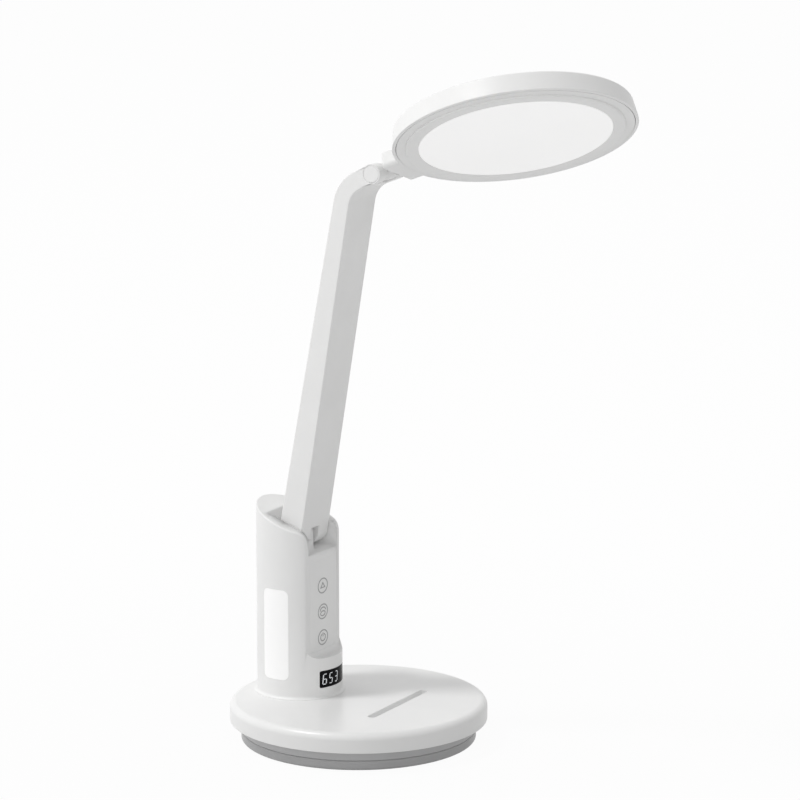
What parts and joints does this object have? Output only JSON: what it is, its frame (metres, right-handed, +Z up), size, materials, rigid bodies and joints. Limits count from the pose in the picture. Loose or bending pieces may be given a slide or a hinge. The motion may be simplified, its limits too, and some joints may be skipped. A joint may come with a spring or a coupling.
{
  "type": "rechargeable desk lamp",
  "caption": "Desk lamp with a round weighted base, a column with touch keys, clock and night light, a folding arm and a round tilting, turning light head.",
  "frame": {"origin": "centre of the underside of the round base, on the table", "axes": "+Z up, the lamp's front and its head towards -Y, the night light on the -X side"},
  "size_m": [0.15, 0.2412, 0.3974],
  "materials": {
    "white_plastic": "fine satin moulded white",
    "base_white": "semi-gloss moulded white",
    "grey_plastic": "fine satin moulded grey",
    "foam_pad": "closed-cell foam",
    "ballast_steel": "raw plate",
    "screw_steel": "zinc plated",
    "pin_steel": "ground",
    "port_metal": "stamped sheet",
    "circuit_board": "solder mask",
    "dark_plastic": "moulded",
    "battery_wrap": "shrink film",
    "key_print": "screen print",
    "display_black": "gloss black lens",
    "display_light": "lit segments",
    "night_lens": "milk white, lit",
    "light_chip": "phosphor",
    "cable_rubber": "jacket",
    "bush_plastic": "natural acetal",
    "diffuser_milk": "milk white, lit",
    "guide_clear": "clear acrylic",
    "reflector_white": "white film"
  },
  "bodies": {
    "base": {"base_pad": "foam_pad", "base_bottom": "grey_plastic", "base_tray": "grey_plastic", "base_weight": "ballast_steel", "base_cover": "base_white", "base_screws": "screw_steel", "main_board": "circuit_board", "charge_port": "port_metal", "column_shell": "white_plastic", "column_screws": "screw_steel", "battery_holder": "dark_plastic", "battery_cell": "battery_wrap", "control_panel": "white_plastic", "key_marks": "key_print", "touch_board": "circuit_board", "display_window": "display_black", "display_digits": "display_light", "display_module": "dark_plastic", "night_light_lens": "night_lens", "night_light_board": "circuit_board", "night_light_leds": "light_chip", "hinge_lug": "white_plastic", "hinge_screws": "screw_steel", "arm_pin": "pin_steel", "arm_washers": "pin_steel"},
    "arm": {"arm_body": "white_plastic", "arm_back_cover": "white_plastic", "arm_screws": "screw_steel", "arm_cable": "cable_rubber", "tip_pin": "pin_steel", "tip_washers": "pin_steel", "tip_caps": "white_plastic"},
    "knuckle": {"neck_knuckle": "white_plastic", "swivel_clip": "pin_steel"},
    "head": {"head_shell": "white_plastic", "swivel_bush": "bush_plastic", "head_bezel": "white_plastic", "diffuser": "diffuser_milk", "light_guide": "guide_clear", "reflector_sheet": "reflector_white", "led_strip": "circuit_board", "led_chips": "light_chip", "pressure_pad": "foam_pad"}
  },
  "joints": [
    {"name": "arm_fold", "type": "hinge", "parent": "base", "child": "arm", "pos_m": [0, 0.0372, 0.1182], "axis": [1, 0, 0], "range_deg": [-20, 30]},
    {"name": "head_tilt", "type": "hinge", "parent": "arm", "child": "knuckle", "pos_m": [0, -0.0176, 0.3326], "axis": [1, 0, 0], "range_deg": [-30, 45]},
    {"name": "head_swivel", "type": "hinge", "parent": "knuckle", "child": "head", "pos_m": [0, -0.0176, 0.3326], "axis": [0, -0.9397, 0.342], "range_deg": [-25, 65]}
  ]
}
